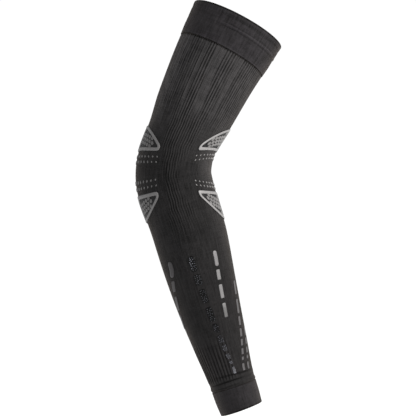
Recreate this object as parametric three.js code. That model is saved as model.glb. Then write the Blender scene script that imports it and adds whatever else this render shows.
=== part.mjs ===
// Arm compression sleeve: one knitted tube from the upper arm to the wrist, with a doubled band at each
// end, four grip pads round the elbow and stripes of printed dashes down the forearm.
// Millimetres, +Z up. The origin is the middle of the sleeve at its elbow. +X is its front, where it bends,
// -Y its outer side and +Y its inner side. A turn is an angle round the sleeve from the front, towards the
// inner side. A place along the sleeve counts from the elbow, up its upper part.
import * as THREE from 'three';
import { ParametricGeometry } from 'three/addons/geometries/ParametricGeometry.js';

// Lengths along the sleeve
const UPPER_ARM_LENGTH = 164;
const FOREARM_LENGTH = 246;
const UPPER_BAND_HEIGHT = 36;
const WRIST_BAND_HEIGHT = 24;

// Outside of the sleeve: width from back to front, depth from the outer to the inner side
const BICEPS_WIDTH = 97.5;
const BICEPS_DEPTH = 88;
const ELBOW_WIDTH = 76.5;
const ELBOW_DEPTH = 86;
const FOREARM_WIDTH = 72;
const FOREARM_DEPTH = 84;
const WRIST_WIDTH = 42;
const WRIST_DEPTH = 57;

// Knitted walls, and how far the doubled bands stand proud of the body
const BODY_WALL = 1.2;
const UPPER_BAND_WALL = 2;
const UPPER_BAND_PROUD = 0.8;
const WRIST_BAND_WALL = 1.8;
const WRIST_BAND_PROUD = 0.6;
const SEAM_GAP = 0.3;

// Relief of the knit: a ridge round the upper band, ribs along the sleeve and folds above the wrist band
const BAND_RIDGE_DROP = 15;
const BAND_RIDGE_WIDTH = 4;
const BAND_RIDGE_HEIGHT = 0.5;
const RIB_COUNT = 30;
const RIB_HEIGHT = 0.5;
const FOLD_PITCH = 7;
const FOLD_HEIGHT = 0.9;

// Grip pads and printed dashes, which lie on the knit
const PAD_ARC = 88;
const PAD_HEIGHT = 28;
const PAD_TIP = 1.5;
const PAD_THICKNESS = 0.7;
const DASH_WIDTH = 6;
const DASH_THICKNESS = 0.4;
const PRINT_GAP = 0.3;

const BICEPS = { width: BICEPS_WIDTH, depth: BICEPS_DEPTH };
const ELBOW = { width: ELBOW_WIDTH, depth: ELBOW_DEPTH };
const FOREARM = { width: FOREARM_WIDTH, depth: FOREARM_DEPTH };
const WRIST = { width: WRIST_WIDTH, depth: WRIST_DEPTH };

// Sections of the sleeve, from the wrist up. `at` is a share of the length above or below the elbow, width
// and depth are shares of the named girth, lean is how far the sleeve tilts to the front and away how far
// to the inner side, in degrees, and egg makes the front fuller than the back.
const SECTIONS = [
  { at: -1.00, girth: WRIST, width: 1.00, depth: 1.00, lean: -20.0, away: 2.0, egg: 0 },
  { at: -0.85, girth: WRIST, width: 1.11, depth: 1.04, lean: -17.5, away: 2.0, egg: 0 },
  { at: -0.70, girth: WRIST, width: 1.32, depth: 1.15, lean: -17.5, away: 2.0, egg: 0 },
  { at: -0.50, girth: FOREARM, width: 0.91, depth: 0.88, lean: -15.5, away: 2.0, egg: 0 },
  { at: -0.30, girth: FOREARM, width: 1.01, depth: 0.99, lean: -14.5, away: 2.0, egg: 0.02 },
  { at: -0.18, girth: FOREARM, width: 1.03, depth: 1.00, lean: -18.5, away: 2.5, egg: 0.05 },
  { at: -0.06, girth: ELBOW, width: 1.00, depth: 1.00, lean: -13.0, away: 3.0, egg: 0.10 },
  { at: 0.06, girth: ELBOW, width: 0.98, depth: 1.00, lean: 11.0, away: 3.0, egg: 0.10 },
  { at: 0.20, girth: ELBOW, width: 0.95, depth: 0.98, lean: 21.5, away: 4.0, egg: 0.06 },
  { at: 0.40, girth: BICEPS, width: 0.82, depth: 0.93, lean: 24.5, away: 5.0, egg: 0.02 },
  { at: 0.60, girth: BICEPS, width: 0.88, depth: 0.94, lean: 25.5, away: 6.5, egg: 0 },
  { at: 0.80, girth: BICEPS, width: 0.94, depth: 0.97, lean: 28.0, away: 7.5, egg: 0 },
  { at: 1.00, girth: BICEPS, width: 1.00, depth: 1.00, lean: 28.0, away: 8.0, egg: 0 },
];

// Where the ribs stand up: low, high and fade are shares of the lengths above and below the elbow, middle
// and spread are turns in degrees, and edge is the turn over which the ribs die out.
const RIB_ZONES = [
  { low: 0.50, high: 0.80, fade: 0.10, middle: 0, spread: 180, edge: 1 },
  { low: -0.24, high: 0.50, fade: 0.08, middle: -85, spread: 10, edge: 6 },
  { low: -0.24, high: 0.50, fade: 0.08, middle: 85, spread: 10, edge: 6 },
  { low: -0.85, high: -0.66, fade: 0.08, middle: -115, spread: 55, edge: 20 },
  { low: -0.85, high: -0.66, fade: 0.08, middle: 115, spread: 55, edge: 20 },
];

// Soft folds of the knit above the wrist band, as shares of the folds' pitch and height
const WRIST_FOLDS = [
  { above: 0.5, half: 0.5, rise: 1 },
  { above: 1.5, half: 0.5, rise: 0.5 },
];

// Grip pads: at is the place of the middle and bend how much nearer the elbow the ends lie, as shares of
// the lengths above and below the elbow
const GRIP_PADS = [
  { name: 'back_upper_grip_pad', turn: 180, at: 0.14, bend: 0.04 },
  { name: 'back_lower_grip_pad', turn: 180, at: -0.115, bend: 0.035 },
  { name: 'front_upper_grip_pad', turn: 0, at: 0.30, bend: 0.13 },
  { name: 'front_lower_grip_pad', turn: 0, at: -0.19, bend: 0.07 },
];

// Rows of dashes down the forearm, as shares of its length
const DASH_ROWS = [
  { top: 0.353, bottom: 0.416 },
  { top: 0.430, bottom: 0.472 },
  { top: 0.491, bottom: 0.547 },
  { top: 0.567, bottom: 0.625 },
  { top: 0.637, bottom: 0.673 },
  { top: 0.686, bottom: 0.718 },
  { top: 0.728, bottom: 0.753 },
  { top: 0.764, bottom: 0.787 },
  { top: 0.796, bottom: 0.809 },
  { top: 0.822, bottom: 0.850 },
];

// Stripes of dashes: the first and last row that each has, its turn and its share of the dash width at
// the first and at the last row of the table above
const STRIPES = [
  { name: 'outer_back', first: 1, last: 4, turns: [-137, -220], widths: [1.1, 0.6], ink: 'dim' },
  { name: 'outer_middle', first: 1, last: 10, turns: [-97, -77], widths: [1.15, 0.45], ink: 'dark' },
  { name: 'outer_front', first: 1, last: 4, turns: [-57, -72], widths: [0.75, 0.5], ink: 'bright' },
  { name: 'front_outer', first: 3, last: 10, turns: [-15, -51], widths: [0.7, 0.5], ink: 'dim' },
  { name: 'front', first: 6, last: 10, turns: [8, -34], widths: [0.7, 0.5], ink: 'dim' },
  { name: 'inner_front', first: 1, last: 4, turns: [57, 72], widths: [0.75, 0.5], ink: 'bright' },
  { name: 'inner_middle', first: 1, last: 10, turns: [97, 77], widths: [1.15, 0.45], ink: 'dark' },
  { name: 'inner_back', first: 1, last: 4, turns: [137, 220], widths: [1.1, 0.6], ink: 'dim' },
];

// Facets
const COLUMNS = 2 * RIB_COUNT;
const MIDDLE_LINE_STEP = 0.5;
const RIM_FACETS = 4;

const knit = new THREE.MeshStandardMaterial({ color: 0x312f31, roughness: 0.9, metalness: 0 });
const bandKnit = new THREE.MeshStandardMaterial({ color: 0x363536, roughness: 0.9, metalness: 0 });
const gripPrint = new THREE.MeshStandardMaterial({ color: 0x8d8b8a, roughness: 0.5, metalness: 0 });
const INKS = {
  bright: new THREE.MeshStandardMaterial({ color: 0x9b9998, roughness: 0.5, metalness: 0 }),
  dim: new THREE.MeshStandardMaterial({ color: 0x5c5b5c, roughness: 0.5, metalness: 0 }),
  dark: new THREE.MeshStandardMaterial({ color: 0x29282c, roughness: 0.3, metalness: 0 }),
};

function alongSleeve(share) {
  return share * (share > 0 ? UPPER_ARM_LENGTH : FOREARM_LENGTH);
}

// The section at each place along the sleeve, on a smooth curve through the rows of the table
const sectionCurve = new THREE.CubicInterpolant(
  SECTIONS.map((row) => alongSleeve(row.at)),
  SECTIONS.flatMap((row) => [
    row.girth.width * row.width / 2,
    row.girth.depth * row.depth / 2,
    THREE.MathUtils.degToRad(row.lean),
    THREE.MathUtils.degToRad(row.away),
    row.egg,
  ]),
  5,
);

function sectionAt(along) {
  const [halfWidth, halfDepth, lean, away, egg] = sectionCurve.evaluate(along);
  return { halfWidth, halfDepth, lean, away, egg };
}

function sleeveDirection({ lean, away }) {
  return new THREE.Vector3(Math.sin(lean) * Math.cos(away), Math.sin(away), Math.cos(lean) * Math.cos(away));
}

// The middle line of the sleeve, added up in short steps from the elbow to one end
function middleLine(end) {
  const steps = Math.ceil(Math.abs(end) / MIDDLE_LINE_STEP);
  const points = [new THREE.Vector3()];
  for (let i = 0; i < steps; i++) {
    const direction = sleeveDirection(sectionAt((i + 0.5) * end / steps));
    points.push(points[i].clone().addScaledVector(direction, end / steps));
  }
  return points;
}

const upperLine = middleLine(UPPER_ARM_LENGTH);
const lowerLine = middleLine(-FOREARM_LENGTH);

function middleAt(along) {
  const line = along > 0 ? upperLine : lowerLine;
  const length = along > 0 ? UPPER_ARM_LENGTH : FOREARM_LENGTH;
  const place = Math.abs(along) / length * (line.length - 1);
  const before = Math.min(Math.floor(place), line.length - 2);
  return line[before].clone().lerp(line[before + 1], place - before);
}

// A point of the sleeve, `out` from the smooth outside of the body
function skinPoint(along, turn, out) {
  const section = sectionAt(along);
  const up = sleeveDirection(section);
  const front = new THREE.Vector3(Math.cos(section.lean), 0, -Math.sin(section.lean));
  const inner = up.cross(front);
  const cosine = Math.cos(turn);
  const sine = Math.sin(turn);
  const fullness = 1 + section.egg * cosine;
  const acrossSlope = -section.halfWidth * sine;
  const depthSlope = section.halfDepth * (cosine * fullness - section.egg * sine * sine);
  const slope = Math.hypot(acrossSlope, depthSlope);
  return middleAt(along)
    .addScaledVector(front, section.halfWidth * cosine + out * depthSlope / slope)
    .addScaledVector(inner, section.halfDepth * sine * fullness - out * acrossSlope / slope);
}

// Length of knit for each millimetre along the sleeve and for each radian round it
function skinRates(along, turn) {
  const step = 0.5;
  const angle = 0.01;
  const up = skinPoint(along + step, turn, 0).distanceTo(skinPoint(along - step, turn, 0));
  const round = skinPoint(along, turn + angle, 0).distanceTo(skinPoint(along, turn - angle, 0));
  return { up: up / (2 * step), round: round / (2 * angle) };
}

function ribStrength(along, turn) {
  const degrees = THREE.MathUtils.radToDeg(turn);
  const strengths = RIB_ZONES.map(({ low, high, fade, middle, spread, edge }) => {
    const share = along / (along > 0 ? UPPER_ARM_LENGTH : FOREARM_LENGTH);
    const lengthwise = THREE.MathUtils.smoothstep(share, low - fade, low)
      * (1 - THREE.MathUtils.smoothstep(share, high, high + fade));
    const turnedBy = Math.abs(THREE.MathUtils.euclideanModulo(degrees - middle + 180, 360) - 180);
    return lengthwise * (1 - THREE.MathUtils.smoothstep(turnedBy, spread, spread + edge));
  });
  return Math.max(...strengths);
}

const bodyTop = UPPER_ARM_LENGTH - UPPER_BAND_HEIGHT - SEAM_GAP;
const bodyBottom = WRIST_BAND_HEIGHT + SEAM_GAP - FOREARM_LENGTH;

function foldRelief(along) {
  const above = (along - bodyBottom) / FOLD_PITCH;
  const heights = WRIST_FOLDS.map((fold) => {
    const off = Math.min(Math.abs(above - fold.above) / fold.half, 1);
    return fold.rise * (1 + Math.cos(Math.PI * off)) / 2;
  });
  return FOLD_HEIGHT * Math.max(...heights);
}

function bodyRelief(along, turn) {
  const rib = (1 + Math.cos(RIB_COUNT * turn)) / 2;
  return RIB_HEIGHT * rib * ribStrength(along, turn) + foldRelief(along);
}

// A wall that closes round the sleeve: the profile goes up its outside and down its inside, and each of its
// points has a place along the sleeve and an `out` for each turn
function ringWall(profile) {
  const surface = (u, v, target) => {
    const { along, out } = profile[Math.round(v * profile.length) % profile.length];
    const turn = u * 2 * Math.PI;
    target.copy(skinPoint(along, turn, out(turn)));
  };
  return new ParametricGeometry(surface, COLUMNS, profile.length);
}

function evenly(from, to, count) {
  return Array.from({ length: count }, (_, i) => THREE.MathUtils.lerp(from, to, i / count));
}

function bodyProfile() {
  const foldTop = bodyBottom + 2 * FOLD_PITCH;
  const belowElbow = alongSleeve(-0.3);
  const aboveElbow = alongSleeve(0.3);
  const places = [
    ...evenly(bodyBottom, foldTop, 8),
    ...evenly(foldTop, belowElbow, 10),
    ...evenly(belowElbow, aboveElbow, 14),
    ...evenly(aboveElbow, bodyTop, 7),
    bodyTop,
  ];
  const insidePlaces = [
    ...evenly(bodyTop, aboveElbow, 4),
    ...evenly(aboveElbow, belowElbow, 9),
    ...evenly(belowElbow, bodyBottom, 7),
    bodyBottom,
  ];
  return [
    ...places.map((along) => ({ along, out: (turn) => bodyRelief(along, turn) })),
    ...insidePlaces.map((along) => ({ along, out: () => -BODY_WALL })),
  ];
}

// A doubled band from its rolled rim to its seam with the body, with raised points of its outside between
function bandProfile(rim, seam, wall, proud, raised) {
  const toRim = Math.sign(rim - seam);
  const point = (along, out) => ({ along, out: () => out });
  const roll = Array.from({ length: RIM_FACETS + 1 }, (_, i) => {
    const angle = Math.PI * i / RIM_FACETS;
    return point(rim - toRim * (1 - Math.sin(angle)) * wall / 2, proud - (1 - Math.cos(angle)) * wall / 2);
  });
  const middle = (rim + seam) / 2;
  const profile = [
    point(seam, proud),
    ...raised,
    ...roll,
    point(middle, proud - wall),
    point(seam, proud - wall),
  ];
  return toRim > 0 ? profile : profile.reverse();
}

function upperBandGeometry() {
  const seam = UPPER_ARM_LENGTH - UPPER_BAND_HEIGHT;
  const ridge = UPPER_ARM_LENGTH - BAND_RIDGE_DROP;
  const raised = [
    { along: ridge - BAND_RIDGE_WIDTH / 2, out: () => UPPER_BAND_PROUD },
    { along: ridge, out: () => UPPER_BAND_PROUD + BAND_RIDGE_HEIGHT },
    { along: ridge + BAND_RIDGE_WIDTH / 2, out: () => UPPER_BAND_PROUD },
  ];
  return ringWall(bandProfile(UPPER_ARM_LENGTH, seam, UPPER_BAND_WALL, UPPER_BAND_PROUD, raised));
}

function wristBandGeometry() {
  const seam = WRIST_BAND_HEIGHT - FOREARM_LENGTH;
  const middle = { along: WRIST_BAND_HEIGHT / 2 - FOREARM_LENGTH, out: () => WRIST_BAND_PROUD };
  return ringWall(bandProfile(-FOREARM_LENGTH, seam, WRIST_BAND_WALL, WRIST_BAND_PROUD, [middle]));
}

// A thin plate that lies on the knit: `place` gives the place along the sleeve and the turn of each point
// of a square from -1 to 1
function plateGeometry(columns, rows, thickness, place) {
  const geometry = new THREE.BoxGeometry(2, 2, 1, columns, rows, 1);
  const corners = geometry.getAttribute('position');
  for (let i = 0; i < corners.count; i++) {
    const { along, turn } = place(corners.getX(i), corners.getY(i));
    const lift = PRINT_GAP + RIB_HEIGHT * ribStrength(along, turn) + foldRelief(along);
    const point = skinPoint(along, turn, lift + (corners.getZ(i) + 0.5) * thickness);
    corners.setXYZ(i, point.x, point.y, point.z);
  }
  geometry.computeVertexNormals();
  return geometry;
}

// A lens round the front or the back of the elbow, widest in the middle and blunt at its ends
function gripPadGeometry(pad) {
  const middleTurn = THREE.MathUtils.degToRad(pad.turn);
  const middle = alongSleeve(pad.at);
  const bend = alongSleeve(Math.sign(pad.at) * pad.bend);
  const round = skinRates(middle, middleTurn).round;
  const place = (x, y) => {
    const turn = middleTurn + x * PAD_ARC / 2 / round;
    const line = middle - bend * x * x;
    const half = (PAD_HEIGHT / 2 - PAD_TIP) * (1 - x * x) + PAD_TIP;
    return { along: line + y * half / skinRates(line, turn).up, turn };
  };
  return plateGeometry(14, 4, PAD_THICKNESS, place);
}

function dashGeometry(stripe, row) {
  const { top, bottom } = DASH_ROWS[row];
  const share = row / (DASH_ROWS.length - 1);
  const middleTurn = THREE.MathUtils.degToRad(THREE.MathUtils.lerp(...stripe.turns, share));
  const width = DASH_WIDTH * THREE.MathUtils.lerp(...stripe.widths, share);
  const middle = alongSleeve(-(top + bottom) / 2);
  const half = FOREARM_LENGTH * (bottom - top) / 2;
  const round = skinRates(middle, middleTurn).round;
  const place = (x, y) => ({ along: middle + y * half, turn: middleTurn + x * width / 2 / round });
  return plateGeometry(2, 1, DASH_THICKNESS, place);
}

function addPiece(group, name, geometry, material) {
  const piece = new THREE.Mesh(geometry, material);
  piece.name = name;
  group.add(piece);
}

const sleeve = new THREE.Group();
addPiece(sleeve, 'sleeve_body', ringWall(bodyProfile()), knit);
addPiece(sleeve, 'upper_band', upperBandGeometry(), bandKnit);
addPiece(sleeve, 'wrist_band', wristBandGeometry(), bandKnit);

const gripPads = new THREE.Group();
for (const pad of GRIP_PADS) {
  addPiece(gripPads, pad.name, gripPadGeometry(pad), gripPrint);
}
sleeve.add(gripPads);

const stripes = new THREE.Group();
for (const stripe of STRIPES) {
  for (let row = stripe.first; row <= stripe.last; row++) {
    addPiece(stripes, `${stripe.name}_dash_${row}`, dashGeometry(stripe, row - 1), INKS[stripe.ink]);
  }
}
sleeve.add(stripes);

export default sleeve;
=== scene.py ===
# Arm compression sleeve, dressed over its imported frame. Metres, in the frame's own axes: +Z up the sleeve,
# +X to its front, -Y to its outer side. A turn is an angle in radians, from the front round towards the
# inner side. A place along the sleeve counts up from the elbow, and below the elbow it is less than zero.
import math
import bpy
import numpy as np
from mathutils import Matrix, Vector


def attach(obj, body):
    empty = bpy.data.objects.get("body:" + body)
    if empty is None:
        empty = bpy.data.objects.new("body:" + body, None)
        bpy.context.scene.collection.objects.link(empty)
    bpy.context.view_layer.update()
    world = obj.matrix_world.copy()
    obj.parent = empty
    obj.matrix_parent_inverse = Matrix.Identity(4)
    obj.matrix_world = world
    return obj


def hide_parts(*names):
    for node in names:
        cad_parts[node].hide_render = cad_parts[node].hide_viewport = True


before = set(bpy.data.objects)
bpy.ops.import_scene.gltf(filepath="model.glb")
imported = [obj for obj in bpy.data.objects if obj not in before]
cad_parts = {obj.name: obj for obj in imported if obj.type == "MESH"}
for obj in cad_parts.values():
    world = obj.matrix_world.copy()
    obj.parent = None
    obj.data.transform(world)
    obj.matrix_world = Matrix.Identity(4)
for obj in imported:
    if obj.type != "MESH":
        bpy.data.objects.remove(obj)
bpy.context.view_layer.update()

MM = 0.001

# Lengths along the sleeve, and the outside widths and depths that its sections share
UPPER_ARM_LENGTH = 164 * MM
FOREARM_LENGTH = 246 * MM
UPPER_BAND_HEIGHT = 36 * MM
WRIST_BAND_HEIGHT = 24 * MM
BICEPS = (97.5 * MM, 88 * MM)
ELBOW = (76.5 * MM, 86 * MM)
FOREARM = (72 * MM, 84 * MM)
WRIST = (42 * MM, 57 * MM)

# Walls, bands and seams
BODY_WALL = 1.2 * MM
UPPER_BAND_WALL = 2 * MM
UPPER_BAND_PROUD = 0.8 * MM
WRIST_BAND_WALL = 1.8 * MM
WRIST_BAND_PROUD = 0.6 * MM
SEAM_GAP = 0.3 * MM
PRINT_GAP = 0.15 * MM

# Ribs of the knit
RIBS_ROUND = 96
RIB_HEIGHT = 0.5 * MM
WRIST_RIBS_ROUND = 48
WRIST_RIB_HEIGHT = 0.6 * MM

# Grip pads and dashes
PAD_ARC = 88 * MM
PAD_HEIGHT = 28 * MM
PAD_RING = 3 * MM
TILE_PITCH = 4.6 * MM
TILE_SIZE = 3.8 * MM
DASH_WIDTH = 6 * MM
DASH_THICKNESS = 0.4 * MM
SPECK_PITCH = 1.5 * MM
SPECK_SIZE = 1.0 * MM
SPECK_HEIGHT = 0.2 * MM

# Columns of the sleeve's sections, from the wrist up: the place as a share of the length above or below
# the elbow, the girth, shares of its width and depth, the lean to the front and to the inner side in
# degrees, and how much fuller the front is than the back
SECTIONS = [
    (-1.00, WRIST, 1.00, 1.00, -20.0, 2.0, 0.00),
    (-0.85, WRIST, 1.11, 1.04, -17.5, 2.0, 0.00),
    (-0.70, WRIST, 1.32, 1.15, -17.5, 2.0, 0.00),
    (-0.50, FOREARM, 0.91, 0.88, -15.5, 2.0, 0.00),
    (-0.30, FOREARM, 1.01, 0.99, -14.5, 2.0, 0.02),
    (-0.18, FOREARM, 1.03, 1.00, -18.5, 2.5, 0.05),
    (-0.06, ELBOW, 1.00, 1.00, -13.0, 3.0, 0.10),
    (0.06, ELBOW, 0.98, 1.00, 11.0, 3.0, 0.10),
    (0.20, ELBOW, 0.95, 0.98, 21.5, 4.0, 0.06),
    (0.40, BICEPS, 0.82, 0.93, 24.5, 5.0, 0.02),
    (0.60, BICEPS, 0.88, 0.94, 25.5, 6.5, 0.00),
    (0.80, BICEPS, 0.94, 0.97, 28.0, 7.5, 0.00),
    (1.00, BICEPS, 1.00, 1.00, 28.0, 8.0, 0.00),
]


def length_of(share):
    return share * (UPPER_ARM_LENGTH if share > 0 else FOREARM_LENGTH)


def share_of(along):
    """A place as a share of the length above or below the elbow."""
    return along / np.where(along > 0, UPPER_ARM_LENGTH, FOREARM_LENGTH)


SECTION_PLACES = np.array([length_of(row[0]) for row in SECTIONS])
SECTION_VALUES = np.array([
    (girth[0] * width / 2, girth[1] * depth / 2, math.radians(lean), math.radians(away), egg)
    for _, girth, width, depth, lean, away, egg in SECTIONS
])


def section_at(along):
    """Half width, half depth, lean, away and egg at places along the sleeve, on a smooth curve."""
    secants = np.diff(SECTION_VALUES, axis=0) / np.diff(SECTION_PLACES)[:, None]
    slopes = np.vstack([secants[:1], (secants[1:] + secants[:-1]) / 2, secants[-1:]])
    before = np.clip(np.searchsorted(SECTION_PLACES, along) - 1, 0, len(SECTION_PLACES) - 2)
    step = SECTION_PLACES[before + 1] - SECTION_PLACES[before]
    share = ((along - SECTION_PLACES[before]) / step)[..., None]
    step = step[..., None]
    values = (
        (2 * share**3 - 3 * share**2 + 1) * SECTION_VALUES[before]
        + (share**3 - 2 * share**2 + share) * step * slopes[before]
        + (3 * share**2 - 2 * share**3) * SECTION_VALUES[before + 1]
        + (share**3 - share**2) * step * slopes[before + 1]
    )
    return np.moveaxis(values, -1, 0)


def sleeve_direction(lean, away):
    return np.stack([np.sin(lean) * np.cos(away), np.sin(away), np.cos(lean) * np.cos(away)], axis=-1)


def middle_line(end, step=0.5 * MM):
    """Places and points of the sleeve's middle line, in short steps from the elbow to one end."""
    count = math.ceil(abs(end) / step)
    middles = (np.arange(count) + 0.5) * end / count
    _, _, lean, away, _ = section_at(middles)
    points = np.cumsum(sleeve_direction(lean, away), axis=0) * end / count
    return np.arange(1, count + 1) * end / count, points


upper_places, upper_points = middle_line(UPPER_ARM_LENGTH)
lower_places, lower_points = middle_line(-FOREARM_LENGTH)
LINE_PLACES = np.concatenate([lower_places[::-1], [0], upper_places])
LINE_POINTS = np.concatenate([lower_points[::-1], [[0, 0, 0]], upper_points])


def skin(along, turn, out):
    """Points of the sleeve, `out` from the smooth outside of its body."""
    along, turn, out = np.broadcast_arrays(along, turn, out)
    half_width, half_depth, lean, away, egg = section_at(along)
    up = sleeve_direction(lean, away)
    front = np.stack([np.cos(lean), np.zeros_like(lean), -np.sin(lean)], axis=-1)
    inner = np.cross(up, front)
    cosine, sine = np.cos(turn), np.sin(turn)
    fullness = 1 + egg * cosine
    across_slope = -half_width * sine
    depth_slope = half_depth * (cosine * fullness - egg * sine**2)
    slope = np.hypot(across_slope, depth_slope)
    middle = np.stack([np.interp(along, LINE_PLACES, LINE_POINTS[:, k]) for k in range(3)], axis=-1)
    forward = half_width * cosine + out * depth_slope / slope
    inward = half_depth * sine * fullness - out * across_slope / slope
    return middle + forward[..., None] * front + inward[..., None] * inner


def skin_rates(along, turn):
    """Length on the skin for each metre along the sleeve and for each radian round it."""
    step, angle = 0.5 * MM, 0.01
    up = np.linalg.norm(skin(along + step, turn, 0.0) - skin(along - step, turn, 0.0), axis=-1)
    across = np.linalg.norm(skin(along, turn + angle, 0.0) - skin(along, turn - angle, 0.0), axis=-1)
    return up / (2 * step), across / (2 * angle)


def ramp(value, low, high):
    share = np.clip((value - low) / (high - low), 0, 1)
    return share**2 * (3 - 2 * share)


def ring_bump(along, place, half, rise):
    """A smooth rise all round that ends at half its width on either side of its place."""
    off = np.clip(abs(along - place) / half, 0, 1)
    return rise * (1 + np.cos(math.pi * off)) / 2


def turned_from(turn, degrees):
    """How far a turn lies from one in degrees, in degrees, from -180 to 180."""
    return (np.degrees(turn) - degrees + 180) % 360 - 180


# Nodes, meshes and objects


def add(tree, kind, settings=None, inputs=None):
    """Adds a node, sets its properties, and links or sets its inputs."""
    node = tree.nodes.new(kind)
    for name, value in (settings or {}).items():
        setattr(node, name, value)
    for key, value in (inputs or {}).items():
        if isinstance(value, bpy.types.NodeSocket):
            tree.links.new(value, node.inputs[key])
        else:
            node.inputs[key].default_value = value
    return node


def mesh_object(name, points, faces, attributes=None, uvs=None):
    """An object at the origin, with a value at each corner point for each attribute."""
    mesh = bpy.data.meshes.new(name)
    mesh.from_pydata(points.tolist(), [], [list(face) for face in faces])
    for key, values in (attributes or {}).items():
        mesh.attributes.new(key, "FLOAT", "POINT").data.foreach_set("value", np.ravel(values))
    if uvs is not None:
        mesh.uv_layers.new(name="UVMap").data.foreach_set("uv", np.ravel(uvs))
    mesh.shade_smooth()
    thing = bpy.data.objects.new(name, mesh)
    bpy.context.scene.collection.objects.link(thing)
    return thing


def baked(thing, tree, values, material):
    """Runs a Geometry Nodes tree on an object once and keeps the result as its plain mesh."""
    modifier = thing.modifiers.new(tree.name, "NODES")
    modifier.node_group = tree
    values = {**values, "Material": material}
    for item in tree.interface.items_tree:
        if item.item_type == "SOCKET" and item.in_out == "INPUT" and item.name in values:
            modifier[item.identifier] = values[item.name]
    depsgraph = bpy.context.evaluated_depsgraph_get()
    result = bpy.data.meshes.new_from_object(thing.evaluated_get(depsgraph), depsgraph=depsgraph)
    thing.modifiers.remove(modifier)
    thing.data = result
    return thing


def new_tree(name, sockets):
    """A Geometry Nodes tree that takes and gives geometry, with named inputs."""
    tree = bpy.data.node_groups.new(name, "GeometryNodeTree")
    tree.interface.new_socket("Geometry", in_out="OUTPUT", socket_type="NodeSocketGeometry")
    tree.interface.new_socket("Geometry", in_out="INPUT", socket_type="NodeSocketGeometry")
    for label, kind, value in sockets:
        socket = tree.interface.new_socket(label, in_out="INPUT", socket_type=kind)
        socket.default_value = value
    tree.interface.new_socket("Material", in_out="INPUT", socket_type="NodeSocketMaterial")
    return tree, tree.nodes.new("NodeGroupInput").outputs


def finish_tree(tree, given, geometry):
    """Ends a tree: instances made real, and the material set."""
    real = add(tree, "GeometryNodeRealizeInstances", inputs={"Geometry": geometry})
    painted = add(tree, "GeometryNodeSetMaterial",
                  inputs={"Geometry": real.outputs[0], "Material": given["Material"]})
    add(tree, "NodeGroupOutput", inputs={"Geometry": painted.outputs[0]})


def math_node(tree, operation, *values):
    return add(tree, "ShaderNodeMath", {"operation": operation}, dict(enumerate(values))).outputs[0]


def times(tree, one, other):
    return math_node(tree, "MULTIPLY", one, other)


def stud(tree, corners, radius, taper, height):
    """A low tapered plate for a print, with this many corners and its top narrower by the taper."""
    return add(tree, "GeometryNodeMeshCone", {"fill_type": "NGON"}, {
        "Vertices": corners, "Radius Top": times(tree, radius, taper),
        "Radius Bottom": radius, "Depth": height}).outputs[0]


# Materials


def linear(colour):
    """An sRGB hex colour as linear red, green, blue and alpha."""
    channels = [int(colour[i:i + 2], 16) / 255 for i in (1, 3, 5)]
    return [c / 12.92 if c <= 0.04045 else ((c + 0.055) / 1.055) ** 2.4 for c in channels] + [1]


def new_material(name, **sockets):
    """A material whose shader has these values, and its tree and shader."""
    material = bpy.data.materials.new(name)
    material.use_nodes = True
    tree = material.node_tree
    shader = tree.nodes["Principled BSDF"]
    for key, value in sockets.items():
        shader.inputs[key.replace("_", " ")].default_value = value
    return material, tree, shader


def mix(tree, factor, low, high, past_one=False):
    """A mix of two colours, each a hex colour or a socket."""
    ends = [linear(end) if isinstance(end, str) else end for end in (low, high)]
    return add(tree, "ShaderNodeMix", {"data_type": "RGBA", "clamp_factor": not past_one},
               {"Factor": factor, 6: ends[0], 7: ends[1]}).outputs[2]


def noise(tree, vector, scale, detail, roughness=0.5):
    return add(tree, "ShaderNodeTexNoise", inputs={
        "Vector": vector, "Scale": scale, "Detail": detail, "Roughness": roughness}).outputs[0]


BLACK = "#000000"
WALES_ROUND = 156
COURSE_PITCH = 1.7 * MM


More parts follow.
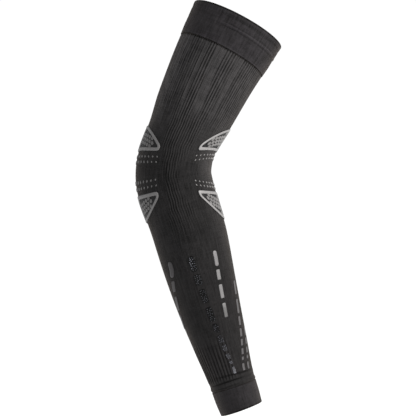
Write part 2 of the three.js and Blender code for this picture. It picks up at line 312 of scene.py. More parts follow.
def knit_material(name, valley, ridge, warm, wales):
    """Nylon and elastane weft knit: matt black filament yarn whose fuzz catches a faint warm sheen.

    The real wales lie 0.8 mm apart and are drawn about twice as coarse, so that they show. Each point's
    `shade` is painted shade, dark in the rib valleys, creases and seams and light on the ridges, and its
    `tone` is how grey the knit is there, with painted sheen along the body's edges.
    """
    material, tree, shader = new_material(
        name, Roughness=0.85, Sheen_Weight=0.1, Sheen_Roughness=0.35, Sheen_Tint=linear("#cbbbab"))
    shader.inputs["Specular IOR Level"].default_value = 0.08
    uv = add(tree, "ShaderNodeUVMap", {"uv_map": "UVMap"}).outputs[0]
    across, up, _ = add(tree, "ShaderNodeSeparateXYZ", inputs={0: uv}).outputs
    wale = math_node(tree, "COSINE", times(tree, across, 2 * math.pi * wales))
    course = math_node(tree, "COSINE", times(tree, up, 2 * math.pi / COURSE_PITCH))
    stitches = math_node(tree, "ADD", wale, times(tree, course, 0.35))
    angle = times(tree, across, 2 * math.pi)

    def straight_tube(radius, stretch):
        """Where the point would lie on a straight tube, so that a noise closes round the sleeve."""
        return add(tree, "ShaderNodeCombineXYZ", inputs={
            "X": times(tree, math_node(tree, "COSINE", angle), radius),
            "Y": times(tree, math_node(tree, "SINE", angle), radius),
            "Z": times(tree, up, stretch),
        }).outputs[0]

    place = add(tree, "ShaderNodeTexCoord").outputs["Object"]
    fuzz = noise(tree, place, 900.0, 3.0)
    patches = noise(tree, place, 38.0, 4.0)
    streaks = noise(tree, straight_tube(0.04, 0.12), 620.0, 2.0)
    rows = noise(tree, straight_tube(0.005, 1.0), 520.0, 2.0)
    height = math_node(tree, "ADD", stitches, times(tree, fuzz, 1.8))
    bump = add(tree, "ShaderNodeBump",
               inputs={"Strength": 0.4, "Distance": 0.12 * MM, "Height": height})
    # Painted shade from the `shade` attribute, with the yarn's own fuzz, patches, streaks and rows on top
    mixed = add(tree, "ShaderNodeAttribute", {"attribute_name": "shade"}).outputs["Fac"]
    mixed = math_node(tree, "MULTIPLY_ADD", stitches, 0.07, mixed)
    for field, amount in ((patches, 0.5), (fuzz, 0.7), (streaks, 1.1), (rows, 0.5)):
        centred = math_node(tree, "SUBTRACT", field, 0.5)
        mixed = math_node(tree, "MULTIPLY_ADD", centred, amount, mixed)
    yarn = mix(tree, mixed, valley, ridge)
    yarn = mix(tree, times(tree, patches, 0.1), yarn, warm)
    tone = add(tree, "ShaderNodeAttribute", {"attribute_name": "tone"}).outputs["Fac"]
    toned = mix(tree, tone, BLACK, yarn, past_one=True)
    tree.links.new(toned, shader.inputs["Base Color"])
    tree.links.new(bump.outputs[0], shader.inputs["Normal"])
    return material


def print_material(name, light, dark, roughness, grain_size, gloss=0.3, heights=None):
    """Heat-pressed silicone ink: satin, a little uneven where the knit shows through it.

    `heights` are stops up the sleeve with the ink's share of its full lightness there.
    """
    material, tree, shader = new_material(name, Roughness=roughness)
    shader.inputs["Specular IOR Level"].default_value = gloss
    place = add(tree, "ShaderNodeTexCoord").outputs["Object"]
    grain = noise(tree, place, 1 / grain_size, 3.0, 0.6)
    patches = noise(tree, place, 120.0, 2.0)
    mixed = math_node(tree, "MULTIPLY_ADD", grain, 0.9,
                      math_node(tree, "MULTIPLY_ADD", patches, 0.6, -0.3))
    colour = mix(tree, mixed, dark, light)
    bump = add(tree, "ShaderNodeBump",
               inputs={"Strength": 0.3, "Distance": 0.05 * MM, "Height": grain})
    if heights:
        _, _, height = add(tree, "ShaderNodeSeparateXYZ", inputs={0: place}).outputs
        low, high = heights[0][0], heights[-1][0]
        share = add(tree, "ShaderNodeMapRange",
                    inputs={"Value": height, "From Min": low, "From Max": high}).outputs[0]
        ramp_node = add(tree, "ShaderNodeValToRGB", inputs={0: share})
        stops = ramp_node.color_ramp.elements
        for number, (stop_height, level) in enumerate(heights):
            at = (stop_height - low) / (high - low)
            stop = stops[number] if number < 2 else stops.new(at)
            stop.position = at
            stop.color = (level, level, level, 1)
        colour = mix(tree, ramp_node.outputs[0], BLACK, colour)
    tree.links.new(colour, shader.inputs["Base Color"])
    tree.links.new(bump.outputs[0], shader.inputs["Normal"])
    return material


body_knit = knit_material("body_rib_knit", "#070708", "#323132", "#2e2925", WALES_ROUND)
band_knit = knit_material("doubled_band_knit", "#070708", "#323033", "#2e2925", 2 * WALES_ROUND)
# One grip pad silicone in two copies: the front copy is lighter with painted light, the back copy darker
# with painted shade
front_ring_print_painted_light = print_material("front_ring_silicone_painted_light", "#6e6d6d", "#565555", 0.45, 0.8 * MM)
back_ring_print_painted_shade = print_material("back_ring_silicone_painted_shade", "#545353", "#424141", 0.5, 0.8 * MM)
front_tile_print_painted_light = print_material("front_tile_silicone_painted_light", "#5a5959", "#454444", 0.45, 0.8 * MM)
back_tile_print_painted_shade = print_material("back_tile_silicone_painted_shade", "#434242", "#333232", 0.5, 0.8 * MM)
film_print = print_material("grip_base_film", "#0d0d0e", "#070708", 0.5, 1.0 * MM, 0.12)
bright_ink = print_material(
    "bright_ink", "#626162", "#383738", 0.45, 0.6 * MM,
    heights=[(-0.15, 0.3), (-0.134, 0.45), (-0.13, 0.8), (-0.1, 0.86), (-0.085, 1.0)])
mid_ink = print_material("mid_ink", "#3c3a3b", "#272627", 0.45, 0.7 * MM)
dim_ink = print_material("dim_ink", "#2b292b", "#1f1e1f", 0.5, 0.7 * MM, 0.2)
dark_ink = print_material(
    "dark_gloss_ink", "#5a5a5d", "#2f2f33", 0.25, 0.9 * MM, 0.08,
    heights=[(-0.2, 1.0), (-0.187, 0.3), (-0.17, 0.15), (-0.158, 0.01), (-0.09, 0.01)])
# Raised glossy dots whose light blue-grey ink stands in for their glints: painted highlight
speck_glint_ink = print_material(
    "speck_glint_ink", "#686a74", "#1b1b20", 0.35, 1.0 * MM,
    heights=[(-0.2, 1.0), (-0.187, 0.6), (-0.17, 0.5), (-0.158, 0.3), (-0.1, 0.3), (-0.094, 0.8)])


# Sleeve walls

SEAM_TURN = math.pi / 2


def tube(name, along, out, columns, relief=None, attributes=None):
    """A wall that closes round the middle line. Its profile goes up outside and down inside."""
    turn = SEAM_TURN + np.arange(columns) * 2 * math.pi / columns
    along_grid, turn_grid = np.meshgrid(along, turn, indexing="ij")
    out_grid = np.repeat(np.asarray(out)[:, None], columns, axis=1)
    if relief is not None:
        out_grid = out_grid + relief(along_grid, turn_grid, out_grid)
    points = skin(along_grid, turn_grid, out_grid).reshape(-1, 3)
    row, column = np.meshgrid(np.arange(len(along)), np.arange(columns), indexing="ij")
    next_row = (row + 1) % len(along)
    next_column = (column + 1) % columns
    corners = [
        (row, column, 0), (row, next_column, 1), (next_row, next_column, 1), (next_row, column, 0)]
    faces = np.stack([(i * columns + j).ravel() for i, j, _ in corners], axis=1)
    uvs = np.stack([
        np.stack([((column + past) / columns).ravel(), np.asarray(along)[i].ravel()], axis=-1)
        for i, _, past in corners
    ], axis=1)
    grids = (along_grid, turn_grid, out_grid)
    values = {key: compute(*grids) for key, compute in (attributes or {}).items()}
    return mesh_object(name, points, faces.tolist(), values, uvs)


BODY_TOP = UPPER_ARM_LENGTH - UPPER_BAND_HEIGHT - SEAM_GAP
BODY_BOTTOM = WRIST_BAND_HEIGHT + SEAM_GAP - FOREARM_LENGTH

# Flat bands between the ribs above the elbow, on the outer side and mirrored on the inner one. Columns:
# the turn in degrees at the top and at the elbow, half the width in degrees, and how deep the ribs beside
# the band are. These reach BESIDE_BANDS degrees to either side
FLAT_BANDS = [
    (-93, -80, 6.0, 0.9),
    (-112, -106, 2.2, 0.4),
    (-63, -62, 2.6, 0.5),
]
FLAT_BANDS += [(-top, -elbow, half_width, ribs) for top, elbow, half_width, ribs in FLAT_BANDS]
BESIDE_BANDS = 16


def off_either(turn, degrees):
    """How far a turn lies, in degrees, from the nearer of one in degrees and its mirror image."""
    return np.minimum(abs(turned_from(turn, -degrees)), abs(turned_from(turn, degrees)))


def off_band(row, along, turn):
    """How far a turn lies from the middle of a flat band, in degrees."""
    top, elbow, _, _ = row
    return abs(turned_from(turn, elbow + (top - elbow) * np.clip(along / BODY_TOP, 0, 1)))


def above_pads(along):
    """From 0 at the height of the upper pads to 1 above them."""
    return ramp(share_of(along), 0.28, 0.42)


def flat_bands(along, turn):
    """Where the flat bands lie: 1 inside them and 0 outside."""
    flat = 0
    for row in FLAT_BANDS:
        off = off_band(row, along, turn)
        flat = np.maximum(flat, (1 - ramp(off, row[2] - 1, row[2] + 1)) * above_pads(along))
    return flat


def fine_ribs(along, turn, out):
    """How strongly the fine ribs above the elbow and down its sides stand up."""
    share = share_of(along)
    every_second = ramp(-np.cos(turn), 0.15, 0.6) * np.cos(RIBS_ROUND / 2 * turn)
    calm = 0.62 + 0.18 * ramp(np.cos(turn), -0.2, 0.4)
    upper = ramp(share, 0.22, 0.42) * (calm + 0.35 * every_second)
    sides = off_either(turn, 93)
    fan = 16 * ramp(abs(share + 0.03), 0.06, 0.2)
    strip = ramp(share, -0.3, -0.14) * (1 - ramp(sides, 5 + fan, 14 + fan))
    strength = np.maximum(upper, strip)
    for row in FLAT_BANDS:
        off = off_band(row, along, turn)
        strength = np.maximum(strength, row[3] * np.exp(-(off / BESIDE_BANDS) ** 2) * above_pads(along))
    return strength * (1 - flat_bands(along, turn)) * (out > -BODY_WALL / 2)


def wrist_ribs(along, turn, out):
    """How strongly the broad ribs above the wrist stand up: on the back half of each side."""
    share = -along / FOREARM_LENGTH
    edge = off_either(turn, 125)
    ribbed = ramp(share, 0.66, 0.78) * (1 - ramp(share, 0.855, 0.875))
    return ribbed * (1 - ramp(edge, 42, 58)) * (out > -BODY_WALL / 2)


# Rolls and creases above the wrist band. Columns: the height above the seam at the back and at the front,
# half the width and the rise, all in millimetres, the painted shade (dark in the creases, light on the
# rolls), and the turn in degrees where the fold is strongest, on either side, with its spread
WRIST_FOLDS = [
    (2.2, 2.0, 2.4, 0.75, 0.00, 90, 400),
    (1.9, 1.6, 0.8, -0.20, -0.60, 125, 40),
    (4.4, 4.2, 2.0, 0.25, 0.10, 90, 90),
    (6.6, 6.8, 1.2, -0.50, -1.40, 104, 40),
    (9.6, 9.6, 2.2, 0.25, 0.10, 60, 80),
    (13.4, 11.2, 1.5, -0.40, -1.20, 76, 44),
]


def wrist_folds(along, turn, column, unit):
    """What the rise or the painted shade of the folds above adds up to at each point."""
    front = (1 + np.cos(turn)) / 2
    side = abs(turned_from(turn, 0))
    above = (along - BODY_BOTTOM) / MM
    total = 0
    for row in WRIST_FOLDS:
        place = row[0] + (row[1] - row[0]) * front + 0.25 * np.sin(3 * turn)
        strength = np.exp(-((side - row[5]) / row[6]) ** 2)
        total = total + strength * ring_bump(above, place, row[2], row[column] * unit)
    return total


def body_relief(along, turn, out):
    outside = out > -BODY_WALL / 2
    tuck = -0.3 * MM * np.exp(-((BODY_TOP - along) / (0.8 * MM)) ** 2)
    return outside * (wrist_folds(along, turn, 3, MM) + tuck)


def fold_shade(along, turn, out):
    """Painted shade in the wrist creases and under the upper band, painted light on the wrist rolls, and
    lighter flat knit between the ribs.
    """
    # Painted shadow along the body's top edge, under the upper band
    edge = -0.5 * np.exp(-((BODY_TOP - along) / (1.2 * MM)) ** 2)
    return wrist_folds(along, turn, 4, 1) + edge + 0.18 * flat_bands(along, turn)


# How grey the knit is: greyer on the upper arm than at the elbow and forearm, with painted sheen along
# the front and back edges, and darker from the sides towards the front. Columns: the place as a share of
# the length above or below the elbow, the tone on the sides, how much more painted sheen there is along
# the front and the back, and how much it falls from the sides to the front
BODY_TONES_AND_SHEEN = np.array([
    (-1.00, 0.52, 0.00, 0.00, 0.00),
    (-0.84, 0.42, 0.05, 0.00, 0.20),
    (-0.60, 0.36, 0.25, 0.00, 0.25),
    (-0.42, 0.37, 0.54, 0.00, 0.22),
    (-0.25, 0.38, 0.85, 0.00, 0.18),
    (-0.10, 0.39, 1.55, 0.10, 0.15),
    (0.00, 0.38, 1.55, 0.10, 0.08),
    (0.22, 0.54, 0.68, 0.45, 0.08),
    (0.40, 0.79, 0.10, 0.70, 0.05),
    (1.00, 0.93, 0.05, 0.55, 0.00),
])


def body_tone_and_sheen(along, turn, out):
    places = [length_of(share) for share in BODY_TONES_AND_SHEEN[:, 0]]
    level, front, back, fall = (np.interp(along, places, column) for column in BODY_TONES_AND_SHEEN.T[1:])
    reach = np.cos(turn)
    # Painted sheen: lighter along the front and back edges of the sleeve
    edges = 1 + front * ramp(reach, 0.55, 1) + back * ramp(-reach, 0.6, 0.9)
    return level * edges * (1 - fall * reach)


def even_tone(level):
    return lambda along, turn, out: np.full(along.shape, level)


def wandering_turn(along, turn, out):
    """The turn by which the ribs are counted: they wander a little at the elbow and below it."""
    wander = 0.012 * np.sin(along * 190 + 2 * turn) + 0.007 * np.sin(along * 420 - 3 * turn)
    return turn + wander * (1 - ramp(along, 20 * MM, 70 * MM)) * ramp(along, -0.17, -0.12)


def knit_rib_tree():
    """Raises the ribs of the knit: fine ones, and broad ones with narrow grooves at the wrist."""
    tree, given = new_tree("knit_ribs", [
        ("Fine Ribs Round", "NodeSocketFloat", 96.0),
        ("Fine Rib Height", "NodeSocketFloat", 0.0005),
        ("Wrist Ribs Round", "NodeSocketFloat", 48.0),
        ("Wrist Rib Height", "NodeSocketFloat", 0.0005),
        ("Seed", "NodeSocketInt", 3),
    ])

    def named(key):
        node = add(tree, "GeometryNodeInputNamedAttribute", {"data_type": "FLOAT"}, {"Name": key})
        return node.outputs["Attribute"]

    around = named("around")
    phase = times(tree, around, given["Fine Ribs Round"])
    wave = math_node(tree, "MULTIPLY_ADD", math_node(tree, "COSINE", phase), 0.5, 0.5)
    number = math_node(tree, "ROUND", math_node(tree, "DIVIDE", phase, 2 * math.pi))
    number = math_node(tree, "FLOORED_MODULO", number, given["Fine Ribs Round"])
    uneven = add(tree, "FunctionNodeRandomValue", {"data_type": "FLOAT"},
                 {2: 0.5, 3: 1.0, "ID": number, "Seed": given["Seed"]}).outputs[1]
    fine_rise = times(tree, math_node(tree, "POWER", wave, 0.8), uneven)
    fine_rise = times(tree, fine_rise, named("fine_ribs"))
    wrist_phase = times(tree, around, given["Wrist Ribs Round"])
    wrist_wave = math_node(tree, "MULTIPLY_ADD", math_node(tree, "COSINE", wrist_phase), 0.5, 0.5)
    wrist_wave = math_node(tree, "POWER", wrist_wave, 0.5)
    wrist_rise = times(tree, wrist_wave, named("wrist_ribs"))
    rise = math_node(
        tree, "ADD",
        times(tree, fine_rise, given["Fine Rib Height"]),
        times(tree, wrist_rise, given["Wrist Rib Height"]))
    normal = add(tree, "GeometryNodeInputNormal").outputs[0]
    offset = add(tree, "ShaderNodeVectorMath", {"operation": "SCALE"}, {0: normal, "Scale": rise})
    moved = add(tree, "GeometryNodeSetPosition",
                inputs={"Geometry": given["Geometry"], "Offset": offset.outputs[0]})
    # Painted shade: darker in the rib valleys and lighter on the ridges, with the folds' painted shade added
    painted_rib_shade = times(tree, math_node(tree, "SUBTRACT", wave, 0.55), 1.3)
    painted_rib_shade = times(tree, painted_rib_shade, uneven)
    fine_shade = times(tree, painted_rib_shade, named("fine_ribs"))
    painted_wrist_rib_shade = math_node(tree, "SUBTRACT", wrist_wave, 0.75)
    wrist_shade = times(tree, painted_wrist_rib_shade, named("wrist_ribs"))
    shade = math_node(tree, "ADD", math_node(tree, "ADD", fine_shade, wrist_shade), 0.5)
    shade = math_node(tree, "ADD", shade, named("fold_shade"))
    stored = add(tree, "GeometryNodeStoreNamedAttribute", {"data_type": "FLOAT", "domain": "POINT"},
                 {"Geometry": moved.outputs[0], "Name": "shade", "Value": shade})
    finish_tree(tree, given, stored.outputs[0])
    return tree


def sleeve_body():
    columns = 5 * RIBS_ROUND
    fold_top = BODY_BOTTOM + 15 * MM
    outside = np.concatenate([
        np.linspace(BODY_BOTTOM, fold_top, 34, endpoint=False),
        np.linspace(fold_top, BODY_TOP - 3 * MM, 132, endpoint=False),
        np.linspace(BODY_TOP - 3 * MM, BODY_TOP, 6),
    ])
    inside = np.linspace(BODY_TOP, BODY_BOTTOM, 26)
    body = tube(
        "sleeve_body_knit",
        np.concatenate([outside, inside]),
        np.concatenate([np.zeros(len(outside)), np.full(len(inside), -BODY_WALL)]),
        columns,
        body_relief,
        {
            "around": wandering_turn,
            "fine_ribs": fine_ribs,
            "wrist_ribs": wrist_ribs,
            "fold_shade": fold_shade,
            "tone": body_tone_and_sheen,
        },
    )
    return baked(body, knit_rib_tree(), {
        "Fine Ribs Round": float(RIBS_ROUND),
        "Fine Rib Height": RIB_HEIGHT,
        "Wrist Ribs Round": float(WRIST_RIBS_ROUND),
        "Wrist Rib Height": WRIST_RIB_HEIGHT,
    }, body_knit)


def band_profile(rim, seam, wall, proud, steps):
    """Places and `out` of a doubled band's profile: seam edge, outside, rolled rim, inside."""
    to_rim = math.copysign(1, rim - seam)
    lip = 0.7 * MM
    quarter = np.linspace(0, math.pi / 2, 5)
    half = np.linspace(0, math.pi, 13)
    seam_along = seam + to_rim * lip * (1 - np.sin(quarter))
    seam_out = proud - lip * (1 - np.cos(quarter))
    outside = np.linspace(seam + to_rim * lip, rim - to_rim * wall / 2, steps)[1:-1]
    rim_along = rim - to_rim * (1 - np.sin(half)) * wall / 2
    rim_out = proud - (1 - np.cos(half)) * wall / 2
    inside = np.linspace(rim - to_rim * wall / 2, seam, 12)[1:]
    along = np.concatenate([seam_along[::-1], outside, rim_along, inside])
    out = np.concatenate([
        seam_out[::-1], np.full(len(outside), proud), rim_out, np.full(len(inside), proud - wall)])
    return (along, out) if to_rim > 0 else (along[::-1], out[::-1])


def seen_ridge(turn):
    """How sharply the upper band's ridge shows: it flattens out round the back."""
    return 0.15 + 0.85 * ramp(np.cos(turn), -0.55, 0.05)


def upper_band():
    seam = UPPER_ARM_LENGTH - UPPER_BAND_HEIGHT
    ridge = UPPER_ARM_LENGTH - 15 * MM
    hem = UPPER_ARM_LENGTH - 6 * MM

    def relief(along, turn, out):
        outside = out > UPPER_BAND_PROUD - 0.2 * MM
        raised = ring_bump(along, ridge, 1.4 * MM, 0.45 * MM)
        sunk = ring_bump(along, ridge - 2.2 * MM, 1.3 * MM, -0.3 * MM)
        rim_hem = ring_bump(along, hem, 2.6 * MM, -0.2 * MM)
        swell = ring_bump(along, seam + 10 * MM, 9 * MM, 0.25 * MM)
        return outside * ((raised + sunk) * seen_ridge(turn) + rim_hem + swell)

    def shade(along, turn, out):
        # Painted light and shade: a highlight on the ridge with shade beside it, painted shade in the hem's
        # groove and on the rolled rim, a painted highlight on the band's lower edge and a painted shadow at
        # the seam
        raised = ring_bump(along, ridge, 1.4 * MM, 0.3)
        raised = raised + ring_bump(along, ridge - 2.2 * MM, 1.4 * MM, -0.2)
        raised = raised + ring_bump(along, ridge + 2.2 * MM, 1.4 * MM, -0.15)
        rolled = -0.9 * ramp(along, UPPER_ARM_LENGTH - 2.2 * MM, UPPER_ARM_LENGTH - 1.0 * MM)
        seam_light_and_shadow = ring_bump(along, seam + 1.4 * MM, 1.3 * MM, 0.2)
        seam_light_and_shadow = seam_light_and_shadow - 0.5 * ramp(-along, -seam - 0.9 * MM, -seam)
        hem_shade = ring_bump(along, hem, 2.8 * MM, -0.26)
        return 0.5 + (raised + hem_shade) * seen_ridge(turn) + rolled + seam_light_and_shadow

    along, out = band_profile(UPPER_ARM_LENGTH, seam, UPPER_BAND_WALL, UPPER_BAND_PROUD, 90)
    return tube("upper_band_knit", along, out, 320, relief, {"shade": shade, "tone": even_tone(0.58)})


def wrist_band():
    seam = WRIST_BAND_HEIGHT - FOREARM_LENGTH

    def relief(along, turn, out):
        outside = out > WRIST_BAND_PROUD - 0.2 * MM
        wave = np.sin(3 * turn + 40 * (along - seam)) * 0.12 * MM
        swell = ring_bump(along, seam - 12 * MM, 11 * MM, 0.25 * MM)
        return outside * (wave * ramp(seam - along, 0, 6 * MM) + swell)

    def shade(along, turn, out):
        # Painted shade on the rolled rim at the wrist, and a painted highlight on the band's edge just below
        # the seam
        rolled = -0.8 * (1 - ramp(along, 0.8 * MM - FOREARM_LENGTH, 2 * MM - FOREARM_LENGTH))
        return 0.5 + rolled + ring_bump(along, seam - 1.2 * MM, 1.2 * MM, 0.1)

    along, out = band_profile(-FOREARM_LENGTH, seam, WRIST_BAND_WALL, WRIST_BAND_PROUD, 40)
    return tube("wrist_band_knit", along, out, 240, relief, {"shade": shade, "tone": even_tone(0.53)})


def keep(piece, slot, *nodes, material=None):
    """Puts a finished piece on the part: its finish, its body and the nodes it stands for. Its slot is not
    used.
    """
    if material is not None:
        piece.data.materials.clear()
        piece.data.materials.append(material)
    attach(piece, "root")
    if nodes:
        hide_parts(*nodes)
    return piece


keep(sleeve_body(), "body_knit", "sleeve_body")
keep(upper_band(), "band_knit", "upper_band", material=band_knit)
keep(wrist_band(), "band_knit", "wrist_band", material=band_knit)


# Prints are laid out flat, x round the sleeve, y up it and z outwards, and then wrapped on the knit


def plate_steps(size, corner, middle):
    """Steps across a plate with round corners, close together at its edges."""
    flat = size / 2 - corner
    edge = flat + corner * np.array([1.0, 0.7, 0.35])
    return np.concatenate([-edge, np.linspace(-flat, flat, middle), edge[::-1]])


def rounded_plate(width, length, corner, thickness, across=4, up=8):
    """Points and faces of a flat closed plate with round corners and a soft upper edge."""
    x, y = np.meshgrid(plate_steps(width, corner, across), plate_steps(length, corner, up))
    past_x = np.clip(abs(x) - (width / 2 - corner), 0, None)
    past_y = np.clip(abs(y) - (length / 2 - corner), 0, None)
    reach = np.hypot(past_x, past_y)
    pull = np.where(reach > 0, np.maximum(past_x, past_y) / np.where(reach > 0, reach, 1), 1)
    x = np.sign(x) * (abs(x) - past_x * (1 - pull))
    y = np.sign(y) * (abs(y) - past_y * (1 - pull))
    rows, columns = x.shape
    rim = np.zeros(x.shape, bool)
    rim[[0, -1]] = True
    rim[:, [0, -1]] = True
    top = np.stack([x, y, np.where(rim, thickness * 0.45, thickness)], axis=-1).reshape(-1, 3)
    bottom = np.stack([x, y, np.zeros_like(x)], axis=-1).reshape(-1, 3)
    count = rows * columns
    faces = []
    for i in range(rows - 1):
        for j in range(columns - 1):
            a = i * columns + j
            d = a + columns
            faces.append((a, a + 1, d + 1, d))
            faces.append((a + count, d + count, d + 1 + count, a + 1 + count))
    edge = (
        [(0, j) for j in range(columns)]
        + [(i, columns - 1) for i in range(1, rows)]
        + [(rows - 1, j) for j in range(columns - 2, -1, -1)]
        + [(i, 0) for i in range(rows - 2, 0, -1)]
    )
    loop = [i * columns + j for i, j in edge]
    for here, there in zip(loop, loop[1:] + loop[:1]):
        faces.append((here, here + count, there + count, there))
    return np.concatenate([top, bottom]), faces


def joined(parts):
    """One list of points and one of faces from several."""
    points, faces, start = [], [], 0
    for part_points, part_faces in parts:
        points.append(part_points)
        faces.extend(tuple(corner + start for corner in face) for face in part_faces)
        start += len(part_points)
    return np.concatenate(points), faces


def rib_lift(along, turn):
    """How high the ribs stand under a print."""
    outside = np.zeros_like(along)
    return np.maximum(
        RIB_HEIGHT * fine_ribs(along, turn, outside),
        WRIST_RIB_HEIGHT * wrist_ribs(along, turn, outside))


def mesh_points(thing):
    points = np.empty(len(thing.data.vertices) * 3)
    thing.data.vertices.foreach_get("co", points)
    return points.reshape(-1, 3)


def wrap(thing, place):
    """Lays a flat print on the knit: `place` gives the place and the turn of its flat points."""
    flat = mesh_points(thing)
    along, turn = place(flat[:, 0], flat[:, 1])
    lifted = PRINT_GAP + rib_lift(along, turn) + flat[:, 2]
    thing.data.vertices.foreach_set("co", skin(along, turn, lifted).ravel())
    thing.data.update()
    return thing


# Stripes of dashes, three of them mirrored on the inner side. Columns of the rows: top and bottom as
# shares of the length below the elbow. Columns of the stripes: name, first and last row, turn in degrees
# and share of the dash width at the top and at the bottom row of all, ink
DASH_ROWS = [
    (0.353, 0.416), (0.430, 0.472), (0.491, 0.547), (0.567, 0.625), (0.637, 0.673),
    (0.686, 0.718), (0.728, 0.753), (0.764, 0.787), (0.796, 0.809), (0.822, 0.850),
]
STRIPES = [
    ("outer_back", 1, 4, (-137, -220), (1.1, 0.6), "dim"),
    ("outer_middle", 1, 10, (-97, -77), (1.15, 0.45), "dark"),
    ("outer_front", 1, 4, (-57, -72), (0.75, 0.5), "bright"),
    ("front_outer", 3, 10, (-15, -51), (0.7, 0.5), "mid"),
    ("front", 6, 10, (8, -34), (0.7, 0.5), "mid"),
]
STRIPES += [
    (name.replace("outer", "inner"), first, last, (-turns[0], -turns[1]), widths, ink)
    for name, first, last, turns, widths, ink in reversed(STRIPES[:3])
]
INKS = {
    "bright": ("bright_print", bright_ink),
    "mid": ("dim_print", mid_ink),
    "dim": ("dim_print", dim_ink),
    "dark": ("dark_print", dark_ink),
}
ROW_MIDDLES = np.array([-(top + bottom) / 2 * FOREARM_LENGTH for top, bottom in DASH_ROWS])


def stripe_place(turns):
    """Wraps a stripe: its middle turns steadily from row to row."""
    row_turns = np.radians(np.linspace(turns[0], turns[1], len(DASH_ROWS)))

    def place(x, y):
        middle = np.interp(-y, -ROW_MIDDLES, row_turns)
        _, radian_length = skin_rates(y, middle)
        return y, middle + x / radian_length

    return place


def speck_tree():
    """Scatters small raised specks on flat dashes."""
    tree, given = new_tree("ink_specks", [
        ("Pitch", "NodeSocketFloat", 0.0012),
        ("Speck Size", "NodeSocketFloat", 0.0009),
        ("Speck Height", "NodeSocketFloat", 0.0002),
        ("Seed", "NodeSocketInt", 11),
    ])
    scattered = add(tree, "GeometryNodeDistributePointsOnFaces", {"distribute_method": "POISSON"}, {
        "Mesh": given["Geometry"],
        "Distance Min": given["Pitch"],
        "Density Max": 2.0e6,
        "Seed": given["Seed"],
    })
    radius = times(tree, given["Speck Size"], 0.5)
    speck = stud(tree, 8, radius, 0.6, given["Speck Height"])
    size = add(tree, "FunctionNodeRandomValue", {"data_type": "FLOAT"},
               {2: 0.55, 3: 1.15, "Seed": given["Seed"]}).outputs[1]
    placed = add(tree, "GeometryNodeInstanceOnPoints", inputs={
        "Points": scattered.outputs["Points"], "Instance": speck, "Scale": size})
    finish_tree(tree, given, placed.outputs[0])
    return tree


def stripe_flat(row):
    """The flat dashes of a stripe, the first with a round top."""
    _, first, last, _, widths, _ = row
    parts = []
    for number in range(first, last + 1):
        top, bottom = DASH_ROWS[number - 1]
        share = (number - 1) / (len(DASH_ROWS) - 1)
        width = DASH_WIDTH * (widths[0] + (widths[1] - widths[0]) * share)
        length = (bottom - top) * FOREARM_LENGTH
        corner = min(width, length) * (0.45 if number == 1 else 0.22)
        points, faces = rounded_plate(width, length, corner, DASH_THICKNESS)
        parts.append((points + [0, ROW_MIDDLES[number - 1], 0], faces))
    return joined(parts)


def stripe_nodes(row):
    return [f"{row[0]}_dash_{number}" for number in range(row[1], row[2] + 1)]


specks = speck_tree()
for stripe in STRIPES:
    points, faces = stripe_flat(stripe)
    name, turns, ink = stripe[0], stripe[3], stripe[5]
    piece = wrap(mesh_object(f"{name}_stripe", points, faces), stripe_place(turns))
    keep(piece, INKS[ink][0], *stripe_nodes(stripe), material=INKS[ink][1])
    if ink == "dark":
        top_faces = [face for face in faces if all(points[c][2] > DASH_THICKNESS / 2 for c in face)]
        sheet = mesh_object(f"{name}_specks", points, top_faces)
        baked(sheet, specks, {
            "Pitch": SPECK_PITCH,
            "Speck Size": SPECK_SIZE,
            "Speck Height": SPECK_HEIGHT,
        }, speck_glint_ink)
        keep(wrap(sheet, stripe_place(turns)), "bright_print")


# Grip pads. Columns: the name, the middle's turn in degrees and place, and how much nearer the elbow the
# ends lie, both as shares of the length above or below the elbow
GRIP_PADS = [
    ("back_upper_grip_pad", 180, 0.14, 0.04),
    ("back_lower_grip_pad", 180, -0.115, 0.035),
    ("front_upper_grip_pad", 0, 0.30, 0.13),
    ("front_lower_grip_pad", 0, -0.19, 0.07),
]
FILM_THICKNESS = 0.3 * MM
TILE_HEIGHT = 0.55 * MM
TILES_ACROSS = 23
TILE_ROWS = 9
PAD_TIP_RADIUS = 5 * MM
LENS_HALF = PAD_ARC / 2 - PAD_TIP_RADIUS
LENS_RISE = PAD_HEIGHT / 2 - PAD_TIP_RADIUS
LENS_RADIUS = (LENS_HALF**2 + LENS_RISE**2) / (2 * LENS_RISE)
LENS_ANGLE = math.asin(LENS_HALF / LENS_RADIUS)


def lens_outline(inset, long=44, tip=12):
    """Points round the pad's outline, moved in evenly: two long arcs and two round tips."""
    right = np.linspace(LENS_ANGLE - math.pi / 2, math.pi / 2 - LENS_ANGLE, tip, endpoint=False)
    upper = np.linspace(math.pi / 2 - LENS_ANGLE, math.pi / 2 + LENS_ANGLE, long, endpoint=False)
    radius = PAD_TIP_RADIUS - inset
    tip_arc = np.stack([LENS_HALF + radius * np.cos(right), radius * np.sin(right)], axis=-1)
    long_arc = np.stack([
        (LENS_RADIUS + radius) * np.cos(upper),
        (LENS_RADIUS + radius) * np.sin(upper) + LENS_RISE - LENS_RADIUS,
    ], axis=-1)
    half = np.concatenate([tip_arc, long_arc])
    return np.concatenate([half, -half])


